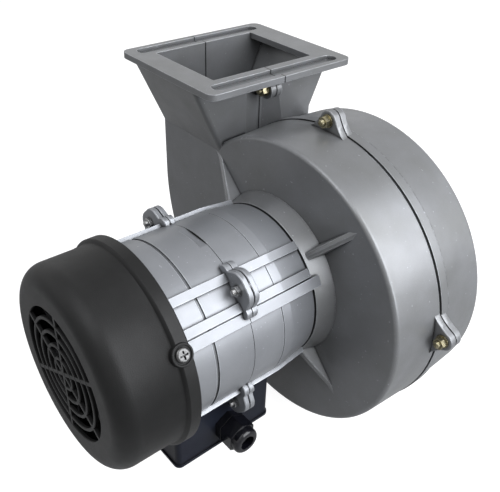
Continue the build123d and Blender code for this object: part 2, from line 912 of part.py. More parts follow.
def fan_cover():
    """Turned cup with a raised rim and a ring of curved slots in its end."""
    centre_y = cover_end + cover_shoulder
    centre_r = cover_radius - cover_shoulder
    inner = cover_radius - cover_wall
    rim_inner = cover_rim_radius - cover_wall
    step = cover_rim_back - 1.5
    outside = [Line((0, cover_end), (centre_r, cover_end)),
               CenterArc((centre_r, centre_y), cover_shoulder, -90, 90),
               Polyline((cover_radius, centre_y), (cover_radius, step), (cover_rim_radius, cover_rim_back),
                        (cover_rim_radius, cover_rim_front), (rim_inner, cover_rim_front),
                        (rim_inner, cover_rim_back), (inner, step - 1), (inner, centre_y)),
               CenterArc((centre_r, centre_y), cover_shoulder - cover_wall, 0, -90),
               Polyline((centre_r, cover_end + cover_wall), (0, cover_end + cover_wall), (0, cover_end))]
    solid = revolve(make_face(outside), Axis.Y)
    cover_boss_inner = inner - cover_boss_overlap
    seat = cover_rim_radius - cover_seat_depth
    for angle in cover_screw_angles:
        place = Pos(0, cover_screw_y, 0) * Rot(0, 90, 0)
        boss = place * Pos(0, 0, cover_boss_inner) * Cylinder(
            cover_boss_radius, cover_rim_radius - cover_boss_inner, align=up)
        recess = place * Pos(0, 0, seat) * Cylinder(cover_seat_radius, 9, align=up)
        hole = place * Pos(0, 0, seat) * Cylinder(cover_screw / 2 + slip, 30)
        solid = solid + turn(boss, angle) - turn(recess, angle) - turn(hole, angle)
    return solid - grille()


def grille():
    """Curved slots left between round bars and straight spokes."""
    slots = None
    for row in range(grille_rows):
        outer = grille_radius - row * grille_pitch
        ring = Circle(outer) - Circle(outer - grille_slot)
        slots = ring if slots is None else slots + ring
    for index in range(grille_spokes):
        angle = grille_first + 360 / grille_spokes * index
        slots -= Rot(0, 0, angle) * Pos(grille_radius / 2, 0) * Rectangle(grille_radius + 2, grille_spoke)
    slots = fillet(slots.vertices(), grille_slot * 0.4)
    return slab(slots, cover_end - 1, cover_end + cover_wall + 1)


def cover_screws():
    seat = cover_rim_radius - cover_seat_depth + cover_washer_thick
    place = Pos(seat, cover_screw_y, 0) * Rot(0, 90, 0)
    return around(place * screw(cover_screw, seat - motor_radius + motor_wall - 1), cover_screw_angles)


def cover_washers():
    seat = cover_rim_radius - cover_seat_depth
    ring = Cylinder(cover_screw + 0.3, cover_washer_thick, align=up) - Cylinder(cover_screw / 2 + slip, 9)
    return around(Pos(seat, cover_screw_y, 0) * Rot(0, 90, 0) * ring, cover_screw_angles)


def upright_box(half_width, back, front, low, high, corner):
    base = Pos(0, (back + front) / 2) * RectangleRounded(2 * half_width, front - back, corner)
    return Pos(0, 0, low) * extrude(base, high - low)


def terminal_box():
    """Open box whose top follows the round of the motor."""
    top = -scroll_radius / 3
    reach = motor_radius + box_air
    solid = upright_box(box_half_width, box_back, box_front, box_bottom, top, box_corner)
    inside = upright_box(box_half_width - box_wall, box_back + box_wall, box_front - box_wall,
                         box_bottom - 1, top, box_corner - 1)
    solid -= inside - rod(reach + box_wall, box_back, box_front)
    for x, y in box_screw_places():
        solid += Pos(x, y, -box_screw_seat) * Cylinder(box_screw + 1.5, box_screw_seat - 60, align=up)
    platform = block(-block_half_width, block_half_width, gland_y - block_half_length,
                     gland_y + block_half_length, -box_screw_seat, -60)
    solid += platform
    for x, y in lid_screw_places():
        post = Pos(x, y, box_bottom) * Cylinder(lid_boss, lid_boss_top - box_bottom, align=up)
        corner_x = x + (lid_boss if x > 0 else -lid_boss)
        corner_y = y + (lid_boss if y > gland_y else -lid_boss)
        post += block(min(x, corner_x), max(x, corner_x), min(y, corner_y), max(y, corner_y),
                      box_bottom, lid_boss_top)
        solid += post
    for x, y in lid_screw_places():
        solid -= Pos(x, y, box_bottom) * Cylinder(lid_screw / 2 + running, 24)
    solid -= rod(reach, box_back - 1, box_front + 1)
    for x, y in box_screw_places():
        solid -= Pos(x, y, -box_screw_seat) * Cylinder(box_screw / 2 + slip, 40)
    for y in block_screw_y():
        solid -= Pos(0, y, -box_screw_seat) * Cylinder(block_screw / 2 + running, 8)
    return solid - toward_right * Cylinder(gland_thread + slip, 3 * box_wall)


def lid_screw_places():
    x = box_half_width - lid_screw_inset
    return [(sx * x, y) for y in (box_back + lid_screw_inset, box_front - lid_screw_inset) for sx in (-1, 1)]


def block_screw_y():
    reach = block_half_length - 3.0
    return (gland_y - reach, gland_y + reach)


def terminal_box_screws():
    fixing = screw(box_screw, box_screw_seat - box_screw_top - 0.8)
    return [Pos(x, y, -box_screw_seat) * Rot(180, 0, 0) * fixing for x, y in box_screw_places()]


def terminal_box_gasket():
    low = box_bottom - gasket_thick
    ring = upright_box(box_half_width, box_back, box_front, low, box_bottom, box_corner)
    ring -= upright_box(box_half_width - box_wall, box_back + box_wall, box_front - box_wall,
                        low - 1, box_bottom + 1, box_corner - 1)
    for x, y in lid_screw_places():
        ring += Pos(x, y, low) * Cylinder(lid_boss, gasket_thick, align=up)
    for x, y in lid_screw_places():
        ring -= Pos(x, y, low) * Cylinder(lid_screw / 2 + slip, 9)
    return ring


def terminal_box_lid():
    high = box_bottom - gasket_thick
    lid = upright_box(box_half_width + lid_proud, box_back - lid_proud, box_front + lid_proud,
                      high - lid_thick, high, box_corner + lid_proud)
    for x, y in lid_screw_places():
        lid -= Pos(x, y, high) * Cylinder(lid_screw / 2 + slip, 9)
    return fillet(lid.faces().sort_by(Axis.Z)[0].outer_wire().edges(), 1.0)


def terminal_lid_screws():
    seat = box_bottom - gasket_thick - lid_thick
    fixing = screw(lid_screw, gasket_thick + lid_thick + 8)
    return [Pos(x, y, seat) * Rot(180, 0, 0) * fixing for x, y in lid_screw_places()]


def terminal_block():
    low = -box_screw_seat - block_height
    block_body = block(-block_half_width, block_half_width, gland_y - block_half_length,
                       gland_y + block_half_length, low, -box_screw_seat)
    for y in block_screw_y():
        block_body -= Pos(0, y, low) * Cylinder(block_screw / 2 + slip, 40)
    for x, y in stud_places():
        block_body -= Pos(x, y, low) * Cylinder(stud_radius, 8)
    return block_body


def stud_places():
    rows = [gland_y + (index - (stud_rows - 1) / 2) * stud_pitch * 0.75 for index in range(stud_rows)]
    return [(x, y) for y in rows for x in (-stud_pitch / 2, stud_pitch / 2)]


def terminal_studs():
    low = -box_screw_seat - block_height
    stud = Cylinder(stud_radius, 10, align=(Align.CENTER, Align.CENTER, Align.MIN))
    stud = Pos(0, 0, -6) * stud + extrude(RegularPolygon(stud_radius * 2, 6), -2.4)
    return [Pos(x, y, low) * stud for x, y in stud_places()]


def terminal_block_screws():
    low = -box_screw_seat - block_height
    fixing = screw(block_screw, block_height + 3.5)
    return [Pos(0, y, low) * Rot(180, 0, 0) * fixing for y in block_screw_y()]


def gland_body():
    hexagon = extrude(RegularPolygon(gland_hex / sqrt(3), 6), gland_body_hex_length)
    body = hexagon + Cylinder(gland_thread, gland_body_length, align=up)
    body += Cylinder(gland_thread, gland_tail, align=down)
    return toward_right * (body - Cylinder(gland_bore + 0.6, 80))


def gland_lock_nut():
    nut = hex_nut(gland_hex, 4.0, gland_thread + running)
    return toward_right * Pos(0, 0, -box_wall - 4.0) * nut


def gland_seal():
    ring = Cylinder(gland_thread - 0.4, gland_seal_length, align=up) - Cylinder(gland_bore, 80)
    return toward_right * Pos(0, 0, gland_body_length) * ring


def gland_dome_nut():
    """Hexagon nut that ends in a rounded nose."""
    start = gland_body_hex_length + air
    hexagon = Pos(0, 0, start) * extrude(RegularPolygon(gland_hex / sqrt(3), 6), gland_nut_length)
    end = start + gland_nut_length + gland_nose_length
    inner = gland_thread + running
    throat = gland_body_length + gland_seal_length
    nose = Cylinder(gland_hex / 2 - 0.4, end - start, align=up)
    nose = Pos(0, 0, start) * nose
    nose = fillet(nose.edges().sort_by(Axis.Z)[-1], gland_nose_round)
    nut = hexagon + nose - Pos(0, 0, start - 1) * Cylinder(inner, throat - start + 1, align=up)
    return toward_right * (nut - Cylinder(gland_bore, 200))


up = (Align.CENTER, Align.CENTER, Align.MIN)
down = (Align.CENTER, Align.CENTER, Align.MAX)
toward_right = Pos(box_half_width, gland_y, gland_z) * Rot(0, 90, 0)

NODES = {
    "volute_front_shell": volute_front_shell,
    "volute_rear_shell": volute_rear_shell,
    "volute_bolts": ear_bolts,
    "volute_washers": ear_washers,
    "volute_nuts": ear_nuts,
    "inlet_guard": inlet_guard,
    "inlet_guard_screws": inlet_guard_screws,
    "motor_front_shell": motor_front_shell,
    "motor_rear_shell": motor_rear_shell,
    "motor_clamp_bolts": clamp_bolts,
    "motor_clamp_nuts": clamp_nuts,
    "motor_mount_screws": motor_mount_screws,
    "shaft_seal": shaft_seal,
    "stator_core": stator_core,
    "stator_windings": stator_windings,
    "front_bearing_outer_ring": lambda: bearing_ring(True, front_bearing_y),
    "rear_bearing_outer_ring": lambda: bearing_ring(True, back_bearing_y),
    "bearing_wave_washer": wave_washer,
    "fan_cover": fan_cover,
    "fan_cover_screws": cover_screws,
    "fan_cover_washers": cover_washers,
    "terminal_box": terminal_box,
    "terminal_box_screws": terminal_box_screws,
    "terminal_box_gasket": terminal_box_gasket,
    "terminal_box_lid": terminal_box_lid,
    "terminal_lid_screws": terminal_lid_screws,
    "terminal_block": terminal_block,
    "terminal_studs": terminal_studs,
    "terminal_block_screws": terminal_block_screws,
    "gland_body": gland_body,
    "gland_lock_nut": gland_lock_nut,
    "gland_seal": gland_seal,
    "gland_dome_nut": gland_dome_nut,
    "motor_shaft": shaft,
    "rotor_core": rotor_core,
    "rotor_end_rings": rotor_end_rings,
    "front_bearing_inner_ring": lambda: bearing_ring(False, front_bearing_y),
    "rear_bearing_inner_ring": lambda: bearing_ring(False, back_bearing_y),
    "front_bearing_balls": lambda: bearing_ball_set(front_bearing_y),
    "rear_bearing_balls": lambda: bearing_ball_set(back_bearing_y),
    "cooling_fan": cooling_fan,
    "fan_clip": fan_clip,
    "impeller_hub": impeller_hub,
    "impeller_backplate": impeller_backplate,
    "impeller_rivets": impeller_rivets,
    "impeller_blades": impeller_blades,
    "impeller_shroud": impeller_shroud,
    "shaft_key": shaft_key,
    "impeller_washer": impeller_washer,
    "impeller_bolt": impeller_bolt,
}

# Every piece moves so that the origin is the middle of the outlet on the flange face
to_flange = Pos(-(duct_left + duct_right) / 2, -casing_split, -flange_top)

os.makedirs("parts", exist_ok=True)
for name, build in NODES.items():
    piece = build()
    solids = piece if isinstance(piece, (list, tuple)) else piece.solids()
    moved = [to_flange * solid for solid in solids]
    export_step(moved[0] if len(moved) == 1 else Compound(children=moved), f"parts/{name}.step")
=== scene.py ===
import bmesh
import bpy
from math import cos, pi, radians, sin, tan
from mathutils import Matrix, Vector


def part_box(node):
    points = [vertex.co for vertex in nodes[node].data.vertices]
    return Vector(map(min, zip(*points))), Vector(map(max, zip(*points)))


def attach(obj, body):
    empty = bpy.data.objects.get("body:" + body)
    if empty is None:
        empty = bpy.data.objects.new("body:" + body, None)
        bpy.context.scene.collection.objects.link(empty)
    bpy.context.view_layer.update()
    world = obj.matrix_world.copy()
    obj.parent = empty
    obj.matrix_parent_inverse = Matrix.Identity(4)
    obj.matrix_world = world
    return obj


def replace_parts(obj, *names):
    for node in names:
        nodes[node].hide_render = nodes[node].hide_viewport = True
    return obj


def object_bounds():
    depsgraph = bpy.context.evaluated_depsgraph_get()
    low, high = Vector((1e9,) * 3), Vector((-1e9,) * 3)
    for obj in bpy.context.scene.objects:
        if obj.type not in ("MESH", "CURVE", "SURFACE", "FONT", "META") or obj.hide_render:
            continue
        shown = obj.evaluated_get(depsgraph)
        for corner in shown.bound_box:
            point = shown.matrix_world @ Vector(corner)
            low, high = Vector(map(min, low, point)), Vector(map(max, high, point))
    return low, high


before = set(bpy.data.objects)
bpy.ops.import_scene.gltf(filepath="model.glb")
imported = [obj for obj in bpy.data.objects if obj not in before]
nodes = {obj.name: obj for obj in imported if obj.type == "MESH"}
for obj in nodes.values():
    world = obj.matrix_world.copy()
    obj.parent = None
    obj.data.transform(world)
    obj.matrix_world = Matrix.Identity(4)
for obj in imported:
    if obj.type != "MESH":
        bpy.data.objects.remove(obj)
cad_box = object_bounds()


# The scroll casing is two aluminium castings that meet on the middle of the scroll, held together
# by six bolts. They are blasted and painted a satin silver: an even skin with a fine grain, paler
# edges and a few specks left from the mould. Painted shade darkens the corners and a line round the scroll.
class Shade:
    """A shader socket that can be used in sums."""

    def __init__(self, finish, socket):
        self.finish = finish
        self.socket = socket

    def __add__(self, other):
        return self.finish.sum("ADD", self, other)

    def __radd__(self, other):
        return self.finish.sum("ADD", other, self)

    def __sub__(self, other):
        return self.finish.sum("SUBTRACT", self, other)

    def __rsub__(self, other):
        return self.finish.sum("SUBTRACT", other, self)

    def __mul__(self, other):
        return self.finish.sum("MULTIPLY", self, other)

    def __rmul__(self, other):
        return self.finish.sum("MULTIPLY", other, self)

    def __gt__(self, other):
        return self.finish.sum("GREATER_THAN", self, other)

    def __lt__(self, other):
        return self.finish.sum("LESS_THAN", self, other)

    def __abs__(self):
        return self.finish.node("ShaderNodeMath", {"operation": "ABSOLUTE"}, {"Value": self}, "Value")


class Finish:
    """The nodes of a material or of the world, and the place on the object that patterns read."""

    noise_roughness, soft_samples = 0.6, 6
    open_face, sharp_edge = 0.997, 0.90
    open_corner, deep_corner = 0.88, 0.52

    def __init__(self, owner, shader, fixed):
        owner.use_nodes = True
        self.owner = owner
        self.tree = owner.node_tree
        self.shader = self.tree.nodes[shader]
        self.place = None
        for socket, value in fixed.items():
            self.shader.inputs[socket].default_value = value

    def node(self, kind, settings, sockets, output):
        made = self.tree.nodes.new(kind)
        for name, value in settings.items():
            setattr(made, name, value)
        for name, value in sockets.items():
            target = next(s for s in made.inputs if s.enabled and name in (s.name, s.identifier))
            if isinstance(value, Shade):
                self.tree.links.new(value.socket, target)
            else:
                target.default_value = value
        return Shade(self, next(s for s in made.outputs if s.enabled and output in (s.name, s.identifier)))

    def sum(self, operation, first, second):
        sockets = {"Value": first, "Value_001": second}
        return self.node("ShaderNodeMath", {"operation": operation}, sockets, "Value")

    def object_place(self):
        """The place on the object, in metres, from one shared node."""
        if self.place is None:
            self.place = self.node("ShaderNodeTexCoord", {}, {}, "Object")
        return self.place

    def noise(self, scale, detail, place=None):
        sockets = {"Scale": scale, "Detail": detail, "Roughness": self.noise_roughness}
        sockets["Vector"] = place or self.object_place()
        return self.node("ShaderNodeTexNoise", {}, sockets, "Fac")

    def ramp(self, value, low, high, start=0.0, end=1.0):
        """A value that runs from start to end while another runs from low to high."""
        sockets = {"Value": value, "From Min": low, "From Max": high, "To Min": start, "To Max": end}
        return self.node("ShaderNodeMapRange", {}, sockets, "Result")

    def mix(self, share, first, second):
        """A share of the second colour in the first. A colour is a shade, or its red, green and blue."""
        colours = [colour if isinstance(colour, Shade) else (*colour, 1.0) for colour in (first, second)]
        sockets = {"Factor": share, "A": colours[0], "B": colours[1]}
        return self.node("ShaderNodeMix", {"data_type": "RGBA"}, sockets, "Result")

    def softened(self, radius):
        """The surface's direction, with its edges rounded by a radius."""
        return self.node("ShaderNodeBevel", {"samples": self.soft_samples}, {"Radius": radius}, "Normal")

    def edges(self, radius):
        """One along the sharp edges, nought on the open faces."""
        true = self.node("ShaderNodeNewGeometry", {}, {}, "True Normal")
        sockets = {"Vector": self.softened(radius), "Vector_001": true}
        alike = self.node("ShaderNodeVectorMath", {"operation": "DOT_PRODUCT"}, sockets, "Value")
        return self.ramp(alike, self.open_face, self.sharp_edge)

    def corners(self, reach):
        """A mask for painted shade: one deep in the inside corners, nought where nothing stands near."""
        settings = {"samples": self.soft_samples}
        open_share = self.node("ShaderNodeAmbientOcclusion", settings, {"Distance": reach}, "AO")
        return self.ramp(open_share, self.open_corner, self.deep_corner)

    def relief(self, height, depth, radius=None):
        """Normals from a height, over edges softened by a radius."""
        sockets = {"Height": height, "Distance": depth, "Strength": 1.0}
        if radius:
            sockets["Normal"] = self.softened(radius)
        return self.node("ShaderNodeBump", {}, sockets, "Normal")

    def feed(self, sockets):
        """Joins the shader's sockets to what varies, and gives the material or the world."""
        for name, value in sockets.items():
            self.tree.links.new(value.socket, self.shader.inputs[name])
        return self.owner


def new_finish(name, fixed):
    """A material whose shader keeps these sockets the same all over."""
    return Finish(bpy.data.materials.new(name), "Principled BSDF", fixed)


def dress(material, *names):
    """Gives CAD nodes a finish in place of their own."""
    for name in names:
        nodes[name].data.materials.clear()
        nodes[name].data.materials.append(material)


core_low, core_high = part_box("rotor_core")
shaft_x, shaft_z = (core_low.x + core_high.x) / 2, (core_low.z + core_high.z) / 2
scroll_middle = (shaft_x + 0.005, shaft_z - 0.009)
# Of the three blacks, the first darkens the joint's gap, the second is painted shade in the corners and the
# third painted shade along a line round the scroll; the last share below sets the depth of the corners'
# painted shade.
gap_black, corner_shade_black, shade_line_black = (0.012,) * 3, (0.015,) * 3, (0.03,) * 3
bare_gain, chip_share, wear_share, corner_shade_share = 2.1, 0.45, 0.8, 0.85
# Where the line of painted shade runs round the scroll: its half width, and its inner and outer reach from
# the scroll's middle.
shade_line_half_width = 0.00028
shade_line_inner, shade_line_outer = 0.1195, 0.1245


def silver_casting(name, dark, pale, rough, joint, half_gap, shade_line_y=None):
    """Blasted aluminium under thin silver paint, dark at the joint across the shaft, with painted
    shade in the corners. When given a place, a broken line of painted shade runs round the scroll there."""
    skin = new_finish(name, {"Metallic": 0.5, "Specular IOR Level": 0.3})
    cloud = skin.noise(scale=22.0, detail=4.0)
    grain = skin.noise(scale=1900.0, detail=2.0)
    chips = skin.ramp(skin.noise(scale=420.0, detail=1.0), low=0.745, high=0.78)
    wear = skin.ramp(skin.noise(scale=160.0, detail=3.0), low=0.3, high=0.62, start=0.35)
    worn = skin.edges(radius=0.0011) * wear
    bare = tuple(bare_gain * part for part in pale)
    colour = skin.mix(skin.ramp(cloud * 0.75 + grain * 0.25, low=0.36, high=0.64), dark, pale)
    colour = skin.mix(chips * chip_share, colour, bare)
    colour = skin.mix(worn * wear_share, colour, bare)
    along = skin.node("ShaderNodeSeparateXYZ", {}, {"Vector": skin.object_place()}, "Y")
    colour = skin.mix(abs(along - joint) < half_gap, colour, gap_black)
    # Painted shade: the inside corners are darkened towards black from an occlusion mask.
    colour = skin.mix(skin.corners(reach=0.0025) * corner_shade_share, colour, corner_shade_black)
    # Painted shade: a thin, broken dark line round the scroll, at the edge of the band beside the split.
    if shade_line_y is not None:
        sockets = {"Vector": skin.object_place(), "Vector_001": (scroll_middle[0], 0.0, scroll_middle[1])}
        from_middle = skin.node("ShaderNodeVectorMath", {"operation": "DISTANCE"}, sockets, "Value")
        on_scroll = (from_middle > shade_line_inner) * (from_middle < shade_line_outer)
        shade_line_mask = (abs(along - shade_line_y) < shade_line_half_width) * on_scroll
        broken = skin.ramp(skin.noise(scale=260.0, detail=3.0), low=0.42, high=0.60, start=0.15, end=0.75)
        colour = skin.mix(shade_line_mask * broken, colour, shade_line_black)
    sheen = skin.noise(scale=55.0, detail=5.0)
    height = grain * 0.5 + skin.noise(scale=620.0, detail=2.0) * 0.5 - chips * 0.6
    return skin.feed({
        "Base Color": colour,
        "Roughness": skin.ramp(sheen, low=0.3, high=0.7, start=rough - 0.05, end=rough + 0.05),
        "Normal": skin.relief(height, depth=0.00006, radius=0.0006)})


# The casing's line of painted shade runs 8.8 mm behind the split, along the band's edge.
casing_finish = silver_casting("silver casting", dark=(0.152, 0.155, 0.156), pale=(0.184, 0.188, 0.196),
                               rough=0.37, joint=0.0, half_gap=0.0006, shade_line_y=0.0088)
dress(casing_finish, "volute_front_shell", "volute_rear_shell")


# Ears for the bolts stand out on both sides of the casing's split, each a pair of thick plates
# cast with the shells, whose flanks run into the band round the scroll in one soft curve.
scroll_radius = 0.122
ear_angles = (90.0, 4.0, -82.0)
ear_reach, ear_radius, ear_half_width, ear_half_depth = 0.0075, 0.00758, 0.019, 0.0057
ear_shoulder = radians(62.0)
ear_pull_top, ear_pull_foot = 0.016, 0.014
foot_sink, root_depth, root_inset = 0.0008, 0.003, 0.002
round_steps, flank_steps = 8, 10
ear_half_gap, plate_edge = 0.0002, 0.0006


def join_rings(work, rings, ends=True):
    """Faces between rings of vertices, with both ends closed, or round to the first ring again."""
    following = rings[1:] if ends else rings[1:] + rings[:1]
    for low, high in zip(rings, following):
        for index in range(len(low)):
            after = (index + 1) % len(low)
            work.faces.new((low[index], low[after], high[after], high[index]))
    if ends:
        work.faces.new(rings[0])
        work.faces.new(rings[-1])


def place_piece(name, mesh, sharp_angle):
    """Places a finished mesh as a piece of the object that rides on the housing."""
    mesh.shade_smooth()
    mesh.set_sharp_from_angle(angle=radians(sharp_angle))
    piece = bpy.data.objects.new(name, mesh)
    bpy.context.scene.collection.objects.link(piece)
    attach(piece, "housing")
    return piece


def mesh_piece(name, work, material):
    """Turns a finished bmesh into a piece of the object."""
    bmesh.ops.recalc_face_normals(work, faces=work.faces)
    mesh = bpy.data.meshes.new(name)
    work.to_mesh(mesh)
    work.free()
    mesh.materials.append(material)
    return place_piece(name, mesh, sharp_angle=32.0)


def prism(work, outline, front, back, edge):
    """Adds an outline of (x, z) points as a solid along Y, with a bevelled edge at both ends."""
    middle = Vector((sum(x for x, z in outline) / len(outline), sum(z for x, z in outline) / len(outline)))
    rings = []
    for depth, inset in ((front, edge), (front + edge, 0.0), (back - edge, 0.0), (back, edge)):
        ring = []
        for point in outline:
            away = Vector(point) - middle
            away -= away.normalized() * inset
            ring.append(work.verts.new((middle.x + away.x, depth, middle.y + away.y)))
        rings.append(ring)
    join_rings(work, rings)


def ear_outline(x, z, angle):
    """Round top, and flanks that bend outwards to the scroll on both sides of it."""
    out = Vector((cos(angle), sin(angle)))
    along = Vector((-out.y, out.x))
    foot_drop = ear_reach + ear_half_width ** 2 / (2 * scroll_radius) + foot_sink
    turns = [ear_shoulder * step / round_steps for step in range(round_steps + 1)]
    half = [(ear_radius * sin(turned), ear_radius * cos(turned)) for turned in turns]
    start = Vector(half[-1])
    end = Vector((ear_half_width, -foot_drop))
    foot_angle = ear_half_width / scroll_radius
    leave = Vector((cos(ear_shoulder), -sin(ear_shoulder))) * ear_pull_top
    arrive = Vector((cos(foot_angle), -sin(foot_angle))) * ear_pull_foot
    for step in range(1, flank_steps + 1):
        t = step / flank_steps
        point = (2 * t ** 3 - 3 * t ** 2 + 1) * start + (t ** 3 - 2 * t ** 2 + t) * leave
        point += (3 * t ** 2 - 2 * t ** 3) * end + (t ** 3 - t ** 2) * arrive
        half.append((point.x, point.y))
    half.append((ear_half_width - root_inset, -foot_drop - root_depth))
    whole = [(-s, h) for s, h in reversed(half[1:])] + half
    return [(x + along.x * s + out.x * h, z + along.y * s + out.y * h) for s, h in whole]


ears = bmesh.new()
for ear_angle in ear_angles:
    turned = radians(ear_angle)
    ear_x = scroll_middle[0] + (scroll_radius + ear_reach) * cos(turned)
    ear_z = scroll_middle[1] + (scroll_radius + ear_reach) * sin(turned)
    outline = ear_outline(ear_x, ear_z, turned)
    prism(ears, outline, -ear_half_depth, -ear_half_gap, plate_edge)
    prism(ears, outline, ear_half_gap, ear_half_depth, plate_edge)
mesh_piece("casing_ears", ears, casing_finish)


# Four webs stiffen the hub: cast ridges that slope down to a point on the casing's front, in one
# with the front shell. Each has three sections: at the hub, at the slope's end, and at the point.
corner_angles = (45.0, 135.0, -45.0, -135.0)
web_foot_y = -0.0430
web_sections = (
    {"reach": 0.0595, "half_foot": 0.0045, "half_top": 0.0027, "top_y": -0.0575, "crest_y": -0.0589},
    {"reach": 0.1010, "half_foot": 0.0032, "half_top": 0.0027, "top_y": -0.0445, "crest_y": -0.0455},
    {"reach": 0.1080, "half_foot": 0.0004, "half_top": 0.0003, "top_y": -0.0443, "crest_y": -0.0445})


def web_ring(section):
    """A web's section as (sideways, y) points, from foot to foot over the crest."""
    flank = [(-section["half_foot"], web_foot_y), (-section["half_top"], section["top_y"])]
    return flank + [(0.0, section["crest_y"])] + [(-across, y) for across, y in reversed(flank)]


webs = bmesh.new()
for web_angle in corner_angles:
    out = Vector((cos(radians(web_angle)), 0.0, sin(radians(web_angle))))
    side = Vector((-out.z, 0.0, out.x))
    rings = []
    for section in web_sections:
        middle = Vector((shaft_x, 0.0, shaft_z)) + out * section["reach"]
        rings.append([webs.verts.new(middle + side * across + Vector((0.0, y, 0.0)))
                      for across, y in web_ring(section)])
    join_rings(webs, rings)
mesh_piece("hub_webs", webs, casing_finish)


# The motor's own two shells are aluminium castings as well, with a smoother and paler skin.
# They meet across the shaft, where four bolts at the corners clamp them together.
motor_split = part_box("motor_front_shell")[0].y
# Like the scroll casing, its skin has painted shade darkening the inside corners.
motor_finish = silver_casting("motor casting", dark=(0.200, 0.207, 0.220), pale=(0.235, 0.243, 0.257),
                              rough=0.38, joint=motor_split, half_gap=0.0003)
dress(motor_finish, "motor_front_shell", "motor_rear_shell")


# At the corners of the motor's split stand the clamp ears: two long cast plates, one on each
# shell, with a lobe beside the ear on every side that carries a rib.
ear_lobe = {"reach": 0.0725, "shift": 0.0035, "radius": 0.0093}
rib_lobe = {"reach": 0.0655, "shift": 0.0150, "radius": 0.0049}
plate_foot, ribbed_half_width, bare_half_width = 0.060, 0.0185, 0.0125
waist_reach, waist_half_width = 0.0705, 0.0142
clamp_half_depth, clamp_half_gap = 0.0044, 0.0003
bare_sides = {-45.0: -1, -135.0: 1}
lobe_steps = 12


def round_end(lobe, side, first, last):
    """Points of a lobe's arc in a corner's own frame: outwards, and sideways."""
    points = []
    for step in range(lobe_steps + 1):
        turned = radians(side * (first + (last - first) * step / lobe_steps))
        across = side * lobe["shift"] + lobe["radius"] * sin(turned)
        points.append((lobe["reach"] + lobe["radius"] * cos(turned), across))
    return points


def plate_half(side, ribbed):
    """One side of a clamp ear's outline, from its foot to its tip."""
    if not ribbed:
        return [(plate_foot, side * bare_half_width)] + round_end(ear_lobe, side, 80.0, 0.0)
    half = [(plate_foot, side * ribbed_half_width)] + round_end(rib_lobe, side, 100.0, 20.0)
    half.append((waist_reach, side * waist_half_width))
    return half + round_end(ear_lobe, side, 72.0, 0.0)


clamp_plates = bmesh.new()
for corner in corner_angles:
    bare = bare_sides.get(corner)
    outline = plate_half(-1, bare != -1) + plate_half(1, bare != 1)[::-1]
    out = Vector((cos(radians(corner)), sin(radians(corner))))
    placed = [(shaft_x + out.x * reach - out.y * shift, shaft_z + out.y * reach + out.x * shift)
              for reach, shift in outline]
    prism(clamp_plates, placed, motor_split - clamp_half_depth, motor_split - clamp_half_gap, plate_edge)
    prism(clamp_plates, placed, motor_split + clamp_half_gap, motor_split + clamp_half_depth, plate_edge)
mesh_piece("clamp_ears", clamp_plates, motor_finish)


# Screws, bolts, nuts and washers are cold headed and turned steel, zinc plated: yellow for the
# casing's nuts and washers, dull for the clamps' nuts, blued for the rest. The fan cover's screws
# are stainless.
def plated(name, colour, tinge, rough):
    """Plated metal with fine stains in a second colour, and drawing lines."""
    metal = new_finish(name, {"Metallic": 1.0})
    stain = metal.ramp(metal.noise(scale=900.0, detail=4.0), low=0.35, high=0.65)
    lines = metal.noise(scale=5200.0, detail=1.0)
    wear = metal.noise(scale=2400.0, detail=2.0)
    return metal.feed({
        "Base Color": metal.mix(stain, colour, tinge),
        "Roughness": metal.ramp(wear, low=0.3, high=0.7, start=rough - 0.06, end=rough + 0.08),
        "Normal": metal.relief(lines, depth=0.00002, radius=0.00025)})


blue_zinc = plated("blued zinc", colour=(0.42, 0.43, 0.45), tinge=(0.52, 0.52, 0.52), rough=0.27)
dull_zinc = plated("dull zinc", colour=(0.24, 0.24, 0.24), tinge=(0.40, 0.40, 0.40), rough=0.22)
yellow_zinc = plated("yellow zinc", colour=(0.19, 0.17, 0.10), tinge=(0.33, 0.30, 0.21), rough=0.24)
stainless = plated("stainless", colour=(0.07, 0.07, 0.07), tinge=(0.12, 0.12, 0.12), rough=0.33)
dress(blue_zinc, "inlet_guard_screws", "motor_mount_screws", "terminal_box_screws",
      "terminal_lid_screws", "terminal_block_screws", "impeller_washer", "impeller_bolt",
      "impeller_rivets", "fan_clip", "shaft_key")
dress(yellow_zinc, "volute_washers")
dress(stainless, "fan_cover_screws")


# Hexagon nuts, chamfered on both faces, stand on the front of the ears with the end of the
# bolt's thread showing: M5 on the casing, in yellow zinc, and M4 on the motor, in dull zinc.
nut_sides, nut_sharp_angle = 48, 28.0
bolt_end, thread_end = 0.0025, 0.0005
chamfer_slope = tan(radians(30.0))


def full_turn(steps):
    """Angles evenly round a circle."""
    return [2 * pi * step / steps for step in range(steps)]


def turned_mesh(name, rings, sides):
    """A pattern turned about Z. A ring is (radius, height), or a function of the angle giving both."""
    work = bmesh.new()
    loops = []
    for ring in rings:
        loop = []
        for angle in full_turn(sides):
            radius, height = ring(angle) if callable(ring) else ring
            loop.append(work.verts.new((radius * cos(angle), radius * sin(angle), height)))
        loops.append(loop)
    join_rings(work, loops)
    bmesh.ops.recalc_face_normals(work, faces=work.faces)
    mesh = bpy.data.meshes.new(name)
    work.to_mesh(mesh)
    work.free()
    pattern = bpy.data.objects.new(name, mesh)
    bpy.context.scene.collection.objects.link(pattern)
    return pattern


